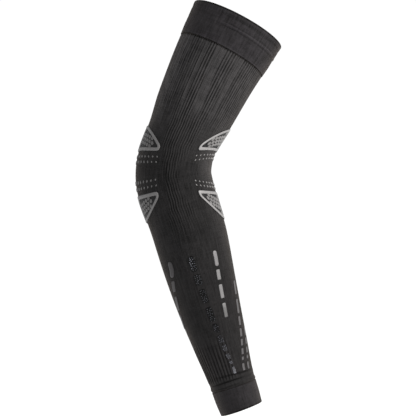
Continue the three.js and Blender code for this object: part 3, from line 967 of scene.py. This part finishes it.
def lens_film(thickness):
    """A flat closed film with the pad's outline, in rings round its middle line."""
    outline = lens_outline(0)
    count = len(outline)
    levels = [1.0, 0.985, 0.9, 0.75, 0.6, 0.45, 0.3, 0.15]
    rings = [np.column_stack([outline * level, np.full(count, thickness * (0.3 if level == 1 else 1))])
             for level in levels]
    top = np.concatenate(rings + [[[0, 0, thickness]]])
    bottom = top * [1, 1, 0]
    faces = []
    start = len(top)
    for ring in range(len(levels) - 1):
        for j in range(count):
            k = (j + 1) % count
            a, b = ring * count + j, ring * count + k
            c, d = b + count, a + count
            faces.append((a, b, c, d))
            faces.append((a + start, d + start, c + start, b + start))
    last, middle = (len(levels) - 1) * count, len(levels) * count
    for j in range(count):
        k = (j + 1) % count
        faces.append((last + j, last + k, middle))
        faces.append((last + j + start, middle + start, last + k + start))
        faces.append((j, j + start, k + start, k))
    return np.concatenate([top, bottom]), faces


def lens_ring(base, height):
    """A raised ring that follows the pad's outline, with rounded edges.

    Its profile gives the way in from the outline, in millimetres before it is scaled, and the rise.
    """
    profile = [(0.6, 0.0), (0.65, 0.6), (1.0, 1.0), (2.0, 1.05), (3.0, 1.0), (3.35, 0.6), (3.4, 0.0)]
    scale = PAD_RING / ((profile[-1][0] - profile[0][0]) * MM)
    loops = []
    for inset, rise in profile:
        outline = lens_outline(inset * MM * scale)
        loops.append(np.column_stack([outline, np.full(len(outline), base + height * rise)]))
    count = len(loops[0])
    faces = []
    for ring in range(len(loops)):
        after = (ring + 1) % len(loops)
        for j in range(count):
            k = (j + 1) % count
            faces.append((ring * count + j, ring * count + k, after * count + k, after * count + j))
    return np.concatenate(loops), faces


def tile_tree():
    """Six-sided grip tiles in a honeycomb that fills a lens, and graded dots in arcs beside it."""
    tree, given = new_tree("grip_tiles", [
        ("Pitch", "NodeSocketFloat", 0.0046),
        ("Tile Size", "NodeSocketFloat", 0.0038),
        ("Tile Height", "NodeSocketFloat", 0.0005),
        ("Base", "NodeSocketFloat", 0.0003),
        ("Half Arc", "NodeSocketFloat", 0.04),
        ("Half Height", "NodeSocketFloat", 0.01),
        ("Lens Power", "NodeSocketFloat", 1.2),
        ("Dots Side", "NodeSocketFloat", 1.0),
        ("Dot Rows", "NodeSocketInt", 2),
        ("Dots Each", "NodeSocketInt", 17),
        ("Dot Size", "NodeSocketFloat", 0.0028),
        ("Dot Height", "NodeSocketFloat", 0.0004),
        ("Dots Wide", "NodeSocketFloat", 0.086),
        ("Dots Off", "NodeSocketFloat", 0.0045),
        ("Outline Radius", "NodeSocketFloat", 0.094),
        ("Outline Drop", "NodeSocketFloat", 0.08),
    ])

    def lens_half(x, half_height):
        """Half the lens's height at x, along its middle line."""
        share = math_node(tree, "DIVIDE", x, given["Half Arc"])
        rest = math_node(tree, "SUBTRACT", 1.0, times(tree, share, share))
        rest = math_node(tree, "MAXIMUM", rest, 0.0)
        power = math_node(tree, "DIVIDE", given["Lens Power"], 2.0)
        return times(tree, math_node(tree, "POWER", rest, power), half_height)

    row_pitch = times(tree, given["Pitch"], math.sqrt(0.75))
    grid = add(tree, "GeometryNodeMeshGrid", inputs={
        "Size X": times(tree, given["Pitch"], TILES_ACROSS - 1.0),
        "Size Y": times(tree, row_pitch, TILE_ROWS - 1.0),
        "Vertices X": TILES_ACROSS,
        "Vertices Y": TILE_ROWS,
    }).outputs[0]
    position = add(tree, "GeometryNodeInputPosition").outputs[0]
    x, y, _ = add(tree, "ShaderNodeSeparateXYZ", inputs={0: position}).outputs
    row = math_node(tree, "ROUND", math_node(tree, "DIVIDE", y, row_pitch))
    odd = math_node(tree, "FLOORED_MODULO", row, 2.0)
    slide = times(tree, odd, times(tree, given["Pitch"], 0.5))
    offset = add(tree, "ShaderNodeCombineXYZ", inputs={"X": slide, "Z": given["Base"]}).outputs[0]
    comb = add(tree, "GeometryNodeSetPosition", inputs={"Geometry": grid, "Offset": offset}).outputs[0]
    off_middle = math_node(tree, "ABSOLUTE", y)
    height_left = math_node(tree, "SUBTRACT", lens_half(x, given["Half Height"]), off_middle)
    outside = math_node(tree, "LESS_THAN", height_left, 0.1 * MM)
    comb = add(tree, "GeometryNodeDeleteGeometry", {"domain": "POINT"},
               {"Geometry": comb, "Selection": outside}).outputs[0]
    tile_radius = math_node(tree, "DIVIDE", given["Tile Size"], math.sqrt(3))
    tile = stud(tree, 6, tile_radius, 0.86, given["Tile Height"])
    tile = add(tree, "GeometryNodeTransform", inputs={
        "Geometry": tile, "Rotation": (0, 0, math.pi / 6)}).outputs[0]
    tiles = add(tree, "GeometryNodeInstanceOnPoints", inputs={"Points": comb, "Instance": tile})

    dot_grid = add(tree, "GeometryNodeMeshGrid", inputs={
        "Size X": given["Dots Wide"],
        "Size Y": 1.0,
        "Vertices X": given["Dots Each"],
        "Vertices Y": given["Dot Rows"],
    }).outputs[0]
    past = times(tree, math_node(tree, "ADD", y, 1.5), given["Dots Off"])
    reach = math_node(tree, "ADD", given["Outline Radius"], past)
    rise = math_node(tree, "POWER", reach, 2.0)
    rise = math_node(tree, "SUBTRACT", rise, times(tree, x, x))
    arc = math_node(tree, "SUBTRACT", math_node(tree, "SQRT", rise), given["Outline Drop"])
    dot_y = times(tree, arc, given["Dots Side"])
    dot_place = add(tree, "ShaderNodeCombineXYZ", inputs={"X": x, "Y": dot_y}).outputs[0]
    dot_points = add(tree, "GeometryNodeSetPosition",
                     inputs={"Geometry": dot_grid, "Position": dot_place}).outputs[0]
    dot_radius = times(tree, given["Dot Size"], 0.5)
    dot = stud(tree, 14, dot_radius, 0.8, given["Dot Height"])
    across = math_node(tree, "DIVIDE", math_node(tree, "ABSOLUTE", x), given["Dots Wide"])
    dot_scale = add(tree, "ShaderNodeMapRange", inputs={
        "Value": across, "From Min": 0.1, "From Max": 0.5, "To Min": 1.0, "To Max": 0.6}).outputs[0]
    dots = add(tree, "GeometryNodeInstanceOnPoints",
               inputs={"Points": dot_points, "Instance": dot, "Scale": dot_scale})
    both = add(tree, "GeometryNodeJoinGeometry", inputs={0: tiles.outputs[0]})
    tree.links.new(dots.outputs[0], both.inputs[0])
    finish_tree(tree, given, both.outputs[0])
    return tree


def pad_place(pad):
    """Wraps a pad round the front or the back of the elbow."""
    _, degrees, at, bend = pad
    middle_turn = math.radians(degrees)
    middle = length_of(at)
    end_rise = -length_of(math.copysign(bend, at))
    _, radian_length = skin_rates(np.array([middle]), np.array([middle_turn]))

    def place(x, y):
        turn = middle_turn + x / radian_length[0]
        line = middle + end_rise * (x / (PAD_ARC / 2)) ** 2
        up, _ = skin_rates(line, turn)
        return line + y / up, turn

    return place


tiles = tile_tree()
for pad in GRIP_PADS:
    name = pad[0]
    place = pad_place(pad)
    points, faces = lens_film(FILM_THICKNESS)
    film = wrap(mesh_object(f"{name}_film", points, faces), place)
    keep(film, "grip_print", name, material=film_print)
    points, faces = lens_ring(FILM_THICKNESS, TILE_HEIGHT)
    ring = wrap(mesh_object(f"{name}_ring", points, faces), place)
    # Front pads take the copies with painted light, back pads the copies with painted shade
    at_front = name.startswith("front")
    keep(ring, "grip_print", material=front_ring_print_painted_light if at_front else back_ring_print_painted_shade)
    grip = mesh_object(f"{name}_tiles", np.zeros((0, 3)), [])
    baked(grip, tiles, {
        "Pitch": TILE_PITCH,
        "Tile Size": TILE_SIZE,
        "Tile Height": TILE_HEIGHT,
        "Base": FILM_THICKNESS,
        "Half Arc": PAD_ARC / 2 - PAD_RING - 4.2 * MM,
        "Half Height": PAD_HEIGHT / 2 - PAD_RING - 2.6 * MM,
        "Lens Power": 1.2,
        "Dots Side": -math.copysign(1.0, pad[2]),
        "Dots Off": 4.5 * MM,
        "Outline Radius": LENS_RADIUS + PAD_TIP_RADIUS,
        "Outline Drop": LENS_RADIUS - LENS_RISE,
    }, front_tile_print_painted_light if at_front else back_tile_print_painted_shade)
    keep(wrap(grip, place), "grip_print")


# Studio: pale floor, soft lights and the photograph's view


def area_light(name, place, target, size, power, colour):
    data = bpy.data.lights.new(name, "AREA")
    data.shape = "DISK"
    data.size = size
    data.energy = power
    data.color = linear(colour)[:3]
    light = bpy.data.objects.new(name, data)
    light.location = place
    light.rotation_euler = (Vector(target) - Vector(place)).to_track_quat("-Z", "Y").to_euler()
    bpy.context.scene.collection.objects.link(light)


def studio():
    world = bpy.data.worlds.new("pale_room")
    world.use_nodes = True
    background = world.node_tree.nodes["Background"]
    background.inputs["Color"].default_value = linear("#ffffff")
    background.inputs["Strength"].default_value = 1.03
    bpy.context.scene.world = world
    half, height = 8.0, -0.5
    corners = [(-half, -half, height), (half, -half, height), (half, half, height), (-half, half, height)]
    floor = mesh_object("studio_floor", np.array(corners), [(0, 1, 2, 3)])
    paper, _, _ = new_material("pale_floor", Roughness=0.9, Base_Color=linear("#ffffff"))
    floor.data.materials.append(paper)
    area_light("key", (1.7, -1.0, 0.8), (0.03, 0, 0), 0.9, 90, "#fffcf8")
    area_light("fill", (-1.6, -1.2, 0.4), (0.03, 0, 0), 1.2, 8, "#f8faff")


def camera():
    """The photograph's view: level, from the outer side, 416 mm across, a millimetre to a pixel."""
    distance, picture = 2.0, 416 * MM
    middle_x, middle_z = 34.5 * MM, -36 * MM
    data = bpy.data.cameras.new("camera")
    data.sensor_width = 36
    data.lens = data.sensor_width * distance / picture
    view = bpy.data.objects.new("camera", data)
    view.location = (middle_x, -distance, middle_z)
    view.rotation_euler = (math.pi / 2, 0, 0)
    bpy.context.scene.collection.objects.link(view)
    bpy.context.scene.camera = view


studio()
camera()
bpy.context.scene.view_settings.view_transform = "Standard"
